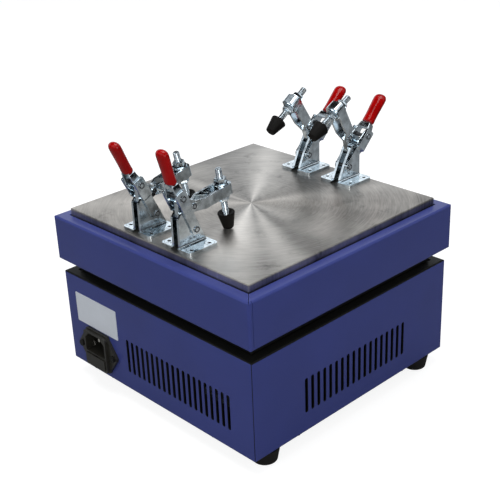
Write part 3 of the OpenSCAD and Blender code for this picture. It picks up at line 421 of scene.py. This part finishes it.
moulded_black = mottled("moulded_black", (0.02, 0.019, 0.015), 0.42, shade=0.15, grain=1600, bump=0.06,
                        specular=0.4)
for node in ("inlet_socket", "controller_case", "switch_frame"):
    crisp_copy(node, "root", moulded_black, MOULDED_EDGE)
crisp_copy("fuse_drawer", "fuse_drawer", moulded_black, DRAWER_EDGE)
paint("inlet_pins", mottled("pin_plating", (0.72, 0.70, 0.64), 0.25, 1.0))
label_film = mottled("label_film", (0.66, 0.69, 0.74), 0.45, shade=0.04, cloud=60, grain=600, bump=0.05)
paint("rating_plate", label_film)


# The controls are a panel temperature controller with a tinted window and four moulded grey keys, and a
# red rocker switch. Behind them the relay and a terminal block stand on the base plate.

paint("controller_window", mottled("tinted_window", (0.02, 0.004, 0.004), 0.12, shade=0.1, bump=0.0))
key_grey = mottled("key_grey", (0.07, 0.075, 0.085), 0.5)
for node in ("key_set", "key_shift", "key_down", "key_up"):
    crisp_copy(node, node, key_grey, MOULDED_EDGE)
paint("switch_rocker", mottled("rocker_red", (0.33, 0.012, 0.01), 0.28))
paint("relay", mottled("relay_case", (0.07, 0.08, 0.09), 0.45))
paint("terminal_block", mottled("terminal_body", (0.5, 0.49, 0.45), 0.5))


# Small vertical toggle clamps, two at each end of the plate. Their bases, arms, levers and links are
# stamped from 1.5 and 2 mm steel, riveted together and bright zinc plated, as the plate's posts are.

PLATE_HALF = 100
CLAMP_X = 22
REAR_Y = PLATE_HALF - 4.5
FRONT_Y = PLATE_HALF - 1.5
# Where each clamp stands and which way it is turned
STANDS = {
    1: (-CLAMP_X, REAR_Y, -90),
    2: (CLAMP_X, REAR_Y, -90),
    3: (CLAMP_X, -FRONT_Y, 90),
    4: (-CLAMP_X, -FRONT_Y, 90),
}
STAMPED_EDGE = 0.4
FASTENER_EDGE = 0.15
HAIR_STEP = 0.03
# Distances from a clamp's middle plane to just outside its arm's root and its straps' two layers
ARM_ROOT = 2.2
LOWER_STRAP = 6.2
UPPER_STRAP = 7.85
# The same to just under the heads' tops on the upper layer
UPPER_HEAD = 8.3
# A rivet's head is a round face between these areas, looking straight sideways
SMALLEST_HEAD = 8
LARGEST_HEAD = 20
HEAD_CORNERS = 20
LOOKS_SIDEWAYS = 0.99
TURNED_SIDE = 0.35
RIVET_RIM = 0.9
# Rivets lie above the first height and the flange screws' sockets below the second
RIVETS_ABOVE = 2.5
SOCKETS_BELOW = 1.95

bright_zinc = mottled("bright_zinc", (0.62, 0.69, 0.735), 0.13, 1.0, shade=0.3, cloud=200, grain=1400,
                      swing=0.09, bump=0.12, wave=14)
# Painted shade for the crevices round rivet heads, the rivets' turned sides and the screws' sockets
painted_crevice_shade = mottled("painted_crevice_shade", (0.02, 0.02, 0.022), 0.45, shade=0.2, cloud=300)


def off_middle(face):
    """How far a face lies from the middle plane of its clamp."""
    return abs(abs(face.center.x) / MM - CLAMP_X)


def is_rivet_head(face, outermost):
    """Whether a face is a rivet's round head that lies further out than a distance."""
    size = face.area / MM ** 2
    round_face = len(face.vertices) > HEAD_CORNERS and SMALLEST_HEAD < size < LARGEST_HEAD
    return abs(face.normal.x) > LOOKS_SIDEWAYS and round_face and off_middle(face) > outermost


def roll_rims(piece, outermost):
    """Insets a piece's rivet heads and darkens their rings with painted shade, as in the crevice round a
    rolled rivet.
    """
    piece.data.materials.append(painted_crevice_shade)
    before = len(piece.data.polygons)
    for face in piece.data.polygons:
        face.select = is_rivet_head(face, outermost)
    bpy.context.view_layer.objects.active = piece
    piece.select_set(True)
    bpy.ops.object.mode_set(mode="EDIT")
    bpy.ops.mesh.select_mode(type="FACE")
    bpy.ops.mesh.inset(thickness=RIVET_RIM * MM, use_individual=True)
    bpy.ops.object.mode_set(mode="OBJECT")
    piece.select_set(False)
    for face in piece.data.polygons[before:]:
        face.material_index = 1


def darken_rivets(piece, strap):
    """Darkens with painted shade the turned sides of rivets, where they cross the middle or stand out of
    the straps.
    """
    for face in piece.data.polygons:
        seen_side = off_middle(face) < ARM_ROOT or off_middle(face) > strap
        if seen_side and abs(face.normal.x) < TURNED_SIDE and face.center.z > RIVETS_ABOVE * MM:
            face.material_index = 1


finished = {}
for clamp in STANDS:
    for part in ("base", "arm", "handle", "link"):
        node = "clamp_%d_%s" % (clamp, part)
        body = "root" if part == "base" else node
        finished[clamp, part] = crisp_copy(node, body, bright_zinc, STAMPED_EDGE, HAIR_STEP)
fasteners = crisp_copy("clamp_fasteners", "root", bright_zinc, FASTENER_EDGE)
roll_rims(fasteners, LOWER_STRAP)
darken_rivets(fasteners, LOWER_STRAP)
# The flange screws' sockets are darkened with painted shade
for face in fasteners.data.polygons:
    if face.center.z < SOCKETS_BELOW * MM:
        face.material_index = 1
for clamp in STANDS:
    roll_rims(finished[clamp, "arm"], ARM_ROOT)
    roll_rims(finished[clamp, "link"], UPPER_HEAD)
    darken_rivets(finished[clamp, "link"], UPPER_STRAP)
paint("plate_posts", bright_zinc)


# Each lever is dipped in red vinyl: an oval sleeve with a domed end and a soft rolled lip. Where a lever
# stands follows from the clamp's linkage: its hole on the arm, and the link's circle round its pivot.

ARM_PIVOT = Vector((7.5, 24.7))
LINK_PIVOT = Vector((15, 12.6))
LEVER_ON_ARM = Vector((0.9, 8.5))
LEVER_LOW_HOLE = Vector((2, -6.9))
LEVER_MIDDLE = -0.7
ARM_LOCKED = 8.7
# How far each clamp's arm stands open, in degrees from locked
ARM_OPEN = {1: 0, 2: 4, 3: 48.5, 4: 53.8}
TOGGLE_SHORT = 0.08
ROUND_SIDES = 40
ROUND_CREASE = math.radians(40)
# Heights above the lever's upper pivot, half depths and half widths
GRIP_RINGS = (
    (12, 3.4, 5.15), (12.1, 3.55, 5.3), (12.6, 3.72, 5.46), (13.6, 3.75, 5.5), (15, 3.62, 5.35),
    (20, 3.58, 5.3), (26, 3.66, 5.5), (31, 3.74, 5.75), (34, 3.7, 5.75), (35.5, 3.4, 5.35),
    (36.6, 2.85, 4.6), (37.4, 2.1, 3.5), (37.85, 1.2, 2.1), (38, 0.4, 0.7),
)


def turned(vector, angle):
    """A vector in the clamp's plane, turned anticlockwise."""
    return Matrix.Rotation(math.radians(angle), 2) @ vector


def direction(vector):
    """A vector's angle above level, in degrees."""
    return math.degrees(math.atan2(vector.y, vector.x))


def lever_on_arm(angle):
    """Where the lever's low hole is pinned, with the arm at an angle above level."""
    return ARM_PIVOT + turned(LEVER_ON_ARM, angle)


LEVER_REACH = LEVER_LOW_HOLE.length
LINK_LENGTH = (lever_on_arm(ARM_LOCKED) - LINK_PIVOT).length + LEVER_REACH - TOGGLE_SHORT


def link_top(angle):
    """The link's upper pivot, where its circle meets the lever's."""
    span = lever_on_arm(angle) - LINK_PIVOT
    along = (span.length ** 2 + LINK_LENGTH ** 2 - LEVER_REACH ** 2) / (2 * span.length)
    across = math.sqrt(LINK_LENGTH ** 2 - along ** 2)
    ahead = span.normalized()
    return LINK_PIVOT + along * ahead + across * turned(ahead, 90)


def stood(clamp, pivot, lean):
    """Where a piece drawn at a pivot, leaning backwards, stands on the plate."""
    x, y, turn = STANDS[clamp]
    return (Matrix.Translation((x * MM, y * MM, 0)) @ Matrix.Rotation(math.radians(turn), 4, "Z")
            @ Matrix.Translation((pivot.x * MM, 0, pivot.y * MM))
            @ Matrix.Rotation(math.radians(-lean), 4, "Y"))


def ringed_solid(name, sides, ring_list, middle=0.0):
    """A solid drawn up through oval rings of (height, half depth, half width)."""
    low, deep, wide = ring_list[0]
    bpy.ops.mesh.primitive_circle_add(vertices=sides, radius=MM, location=(middle * MM, 0, low * MM),
                                      fill_type="NGON")
    piece = bpy.context.object
    piece.name = name
    bpy.ops.object.transform_apply(location=True, rotation=False, scale=False)
    bpy.ops.object.mode_set(mode="EDIT")
    bpy.ops.mesh.select_all(action="SELECT")
    bpy.ops.transform.resize(value=(deep, wide, 1), center_override=(middle * MM, 0, low * MM))
    for height, next_deep, next_wide in ring_list[1:]:
        bpy.ops.mesh.extrude_region_move(TRANSFORM_OT_translate={"value": (0, 0, (height - low) * MM)})
        bpy.ops.transform.resize(value=(next_deep / deep, next_wide / wide, 1),
                                 center_override=(middle * MM, 0, height * MM))
        low, deep, wide = height, next_deep, next_wide
    bpy.ops.mesh.select_all(action="SELECT")
    bpy.ops.mesh.normals_make_consistent(inside=False)
    bpy.ops.object.mode_set(mode="OBJECT")
    bpy.ops.object.shade_smooth_by_angle(angle=ROUND_CREASE)
    piece.select_set(False)
    return piece


def fitted(pattern, name, place, body, replaced):
    """A copy of a modelled pattern with its own mesh, put in its place on a body."""
    piece = pattern.copy()
    piece.data = pattern.data.copy()
    piece.name = name
    piece.data.transform(place)
    bpy.context.scene.collection.objects.link(piece)
    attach(piece, body)
    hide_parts(replaced)


grip_pattern = ringed_solid("grip_pattern", ROUND_SIDES, GRIP_RINGS, LEVER_MIDDLE)
dipped_vinyl = mottled("dipped_vinyl", (0.33, 0.002, 0.002), 0.13, shade=0.2, cloud=90, grain=500,
                       bump=0.08, specular=0.2)
grip_pattern.data.materials.append(dipped_vinyl)
for clamp, opening in ARM_OPEN.items():
    arm_angle = ARM_LOCKED + opening
    top = link_top(arm_angle)
    lean = direction(lever_on_arm(arm_angle) - top) - direction(LEVER_LOW_HOLE)
    fitted(grip_pattern, "clamp_%d_grip_dipped" % clamp, stood(clamp, top, lean),
           "clamp_%d_handle" % clamp, "clamp_%d_grip" % clamp)
bpy.data.objects.remove(grip_pattern)


# An M5 threaded spindle is clamped in the arm's slot between two flanged washers by hex nuts. A moulded
# rubber tip, dished at its top, is pushed on its lower end. Heights are from the middle of the arm's bar.

SPINDLE_REACH = 39.2
BAR_MIDDLE = 1.8
BAR_HALF = 4.15
THREAD_LOW = -25.2
THREAD_HIGH = 15.8
THREAD_PITCH = 0.8
THREAD_SIDES = 24
ROOT_R = 2.22
CREST_R = 2.5
CREST_START = 0.3
CREST_END = 0.42
TIP_CLEAR = 0.3
TIP_LOW_R = 4.1
# Heights above the tip's lower end, and radii
TIP_RINGS = (
    (0, 3.5), (0.15, 3.85), (0.6, TIP_LOW_R), (11.3, 6.35), (11.9, 6.5), (12.4, 6.3), (12.6, 5.8),
    (12.5, 5.0), (11.8, 4.0), (11.2, 2.6),
)
# Heights above the bar's upper face, and radii
WASHER_RINGS = (
    (-1.2, 3.9), (-0.01, 4.0), (0, 5.5), (0.2, 5.8), (0.85, 5.8), (1, 5.6), (0.9, 4.4),
)
NUT_RINGS = ((0.95, 4.3), (1.35, 4.62), (4.6, 4.62), (5, 4.15))


def round_rings(pairs, base):
    """Round rings of a turned piece from pairs of height above a base and radius."""
    return [(base + height, radius, radius) for height, radius in pairs]


thread_pairs = [(THREAD_LOW - 1, 2.4)]
height = THREAD_LOW
while height < THREAD_HIGH:
    thread_pairs += [(height, ROOT_R), (height + CREST_START, CREST_R), (height + CREST_END, CREST_R)]
    height += THREAD_PITCH
thread_pairs += [(height, 2.2), (height + 0.3, 1.9)]
# The locked arm's tilt brings the tip's near edge lowest, TIP_CLEAR above the plate
tilt = math.radians(ARM_LOCKED)
near_edge_rise = (SPINDLE_REACH - TIP_LOW_R) * math.sin(tilt)
tip_low = (TIP_CLEAR - ARM_PIVOT.y - near_edge_rise) / math.cos(tilt) - BAR_MIDDLE

spindle_pattern = ringed_solid("spindle_pattern", THREAD_SIDES, round_rings(thread_pairs, 0))
tip_pattern = ringed_solid("tip_pattern", ROUND_SIDES, round_rings(TIP_RINGS, tip_low))
washer_pattern = ringed_solid("washer_pattern", ROUND_SIDES, round_rings(WASHER_RINGS, BAR_HALF))
nut_pattern = ringed_solid("nut_pattern", 6, round_rings(NUT_RINGS, BAR_HALF))
tip_rubber = mottled("tip_rubber", (0.0045, 0.004, 0.0035), 0.6, shade=0.25, cloud=120, grain=900,
                     specular=0.12)
tip_pattern.data.materials.append(tip_rubber)
for pattern in (spindle_pattern, washer_pattern, nut_pattern):
    pattern.data.materials.append(bright_zinc)
turned_over = Matrix.Rotation(math.pi, 4, "X")
along_bar = Matrix.Translation((SPINDLE_REACH * MM, 0, BAR_MIDDLE * MM))
for clamp, opening in ARM_OPEN.items():
    axis = stood(clamp, ARM_PIVOT, ARM_LOCKED + opening) @ along_bar
    arm, spindle, nuts = ("clamp_%d_%s" % (clamp, part) for part in ("arm", "spindle", "nuts"))
    fitted(spindle_pattern, spindle + "_threaded", axis, spindle, spindle)
    fitted(tip_pattern, "clamp_%d_tip_moulded" % clamp, axis, spindle, "clamp_%d_tip" % clamp)
    for side, way in (("upper", axis), ("lower", axis @ turned_over)):
        fitted(washer_pattern, "clamp_%d_%s_washer" % (clamp, side), way, arm, nuts)
        fitted(nut_pattern, "clamp_%d_%s_nut" % (clamp, side), way, arm, nuts)
for pattern in (spindle_pattern, washer_pattern, nut_pattern, tip_pattern):
    bpy.data.objects.remove(pattern)


# The studio is a white floor, a surround with soft clouds that the plating mirrors, a broad soft lamp
# overhead and a weaker one beside the camera. Its places and sizes are in metres.

FLOOR_SIZE = 8
CAMERA_PLACE = (-0.533879, 0.504754, 0.301564)
CAMERA_TURN = (65.0271, 2.1034, -134.1793)
CAMERA_LENS = 73.574
CAMERA_SENSOR = 36
# Noise between the first two values becomes light between the last two
CLOUD_NOISE = (0.46, 0.58)
CLOUD_LIGHT = (0.01, 1.25)

bpy.ops.mesh.primitive_plane_add(size=FLOOR_SIZE, location=(0, 0, cad_box[0][2]))
floor = bpy.context.object
floor.name = "floor"
floor_white, floor_tree, floor_shader = start_material("floor_white", (0.3, 0.3, 0.3), 0.9)
floor_shader.inputs["Specular IOR Level"].default_value = 0
seen = floor_tree.nodes.new("ShaderNodeLightPath")
floor_tree.links.new(seen.outputs["Is Camera Ray"], floor_shader.inputs["Emission Strength"])
floor_shader.inputs["Emission Color"].default_value = (0.85, 0.85, 0.85, 1)
floor.data.materials.append(floor_white)

world = bpy.data.worlds.new("surround")
bpy.context.scene.world = world
world.use_nodes = True
world_tree = world.node_tree
surround = world_tree.nodes["Background"]
surround.inputs["Color"].default_value = (0.92, 0.96, 1.0, 1)
sky = world_tree.nodes.new("ShaderNodeTexCoord")
clouds = world_tree.nodes.new("ShaderNodeTexNoise")
clouds.inputs["Scale"].default_value = 1.7
clouds.inputs["Detail"].default_value = 1
world_tree.links.new(sky.outputs["Generated"], clouds.inputs["Vector"])
contrast = world_tree.nodes.new("ShaderNodeMapRange")
for socket, value in zip(("From Min", "From Max", "To Min", "To Max"), CLOUD_NOISE + CLOUD_LIGHT):
    contrast.inputs[socket].default_value = value
world_tree.links.new(clouds.outputs["Fac"], contrast.inputs["Value"])
world_tree.links.new(contrast.outputs["Result"], surround.inputs["Strength"])
backdrop = world_tree.nodes.new("ShaderNodeBackground")
backdrop.inputs["Color"].default_value = (1, 1, 1, 1)
rays = world_tree.nodes.new("ShaderNodeLightPath")
choice = world_tree.nodes.new("ShaderNodeMixShader")
world_tree.links.new(rays.outputs["Is Camera Ray"], choice.inputs["Fac"])
world_tree.links.new(surround.outputs["Background"], choice.inputs[1])
world_tree.links.new(backdrop.outputs["Background"], choice.inputs[2])
world_tree.links.new(choice.outputs["Shader"], world_tree.nodes["World Output"].inputs["Surface"])


def soft_lamp(name, place, aim, size, power):
    """A square area lamp that points at a place."""
    data = bpy.data.lights.new(name, "AREA")
    data.size = size
    data.energy = power
    lamp = bpy.data.objects.new(name, data)
    lamp.location = place
    lamp.rotation_euler = (Vector(aim) - Vector(place)).to_track_quat("-Z", "Y").to_euler()
    bpy.context.scene.collection.objects.link(lamp)


soft_lamp("overhead", place=(0.1, 0.1, 1.3), aim=(0, 0, -0.05), size=0.9, power=14)
soft_lamp("beside_camera", place=(-1.2, 0.8, 0.5), aim=(0, 0, -0.08), size=0.7, power=7)

camera_data = bpy.data.cameras.new("photo_camera")
camera_data.lens = CAMERA_LENS
camera_data.sensor_width = CAMERA_SENSOR
camera = bpy.data.objects.new("photo_camera", camera_data)
camera.location = CAMERA_PLACE
camera.rotation_euler = [math.radians(angle) for angle in CAMERA_TURN]
bpy.context.scene.collection.objects.link(camera)
bpy.context.scene.camera = camera
bpy.context.scene.view_settings.view_transform = "Standard"
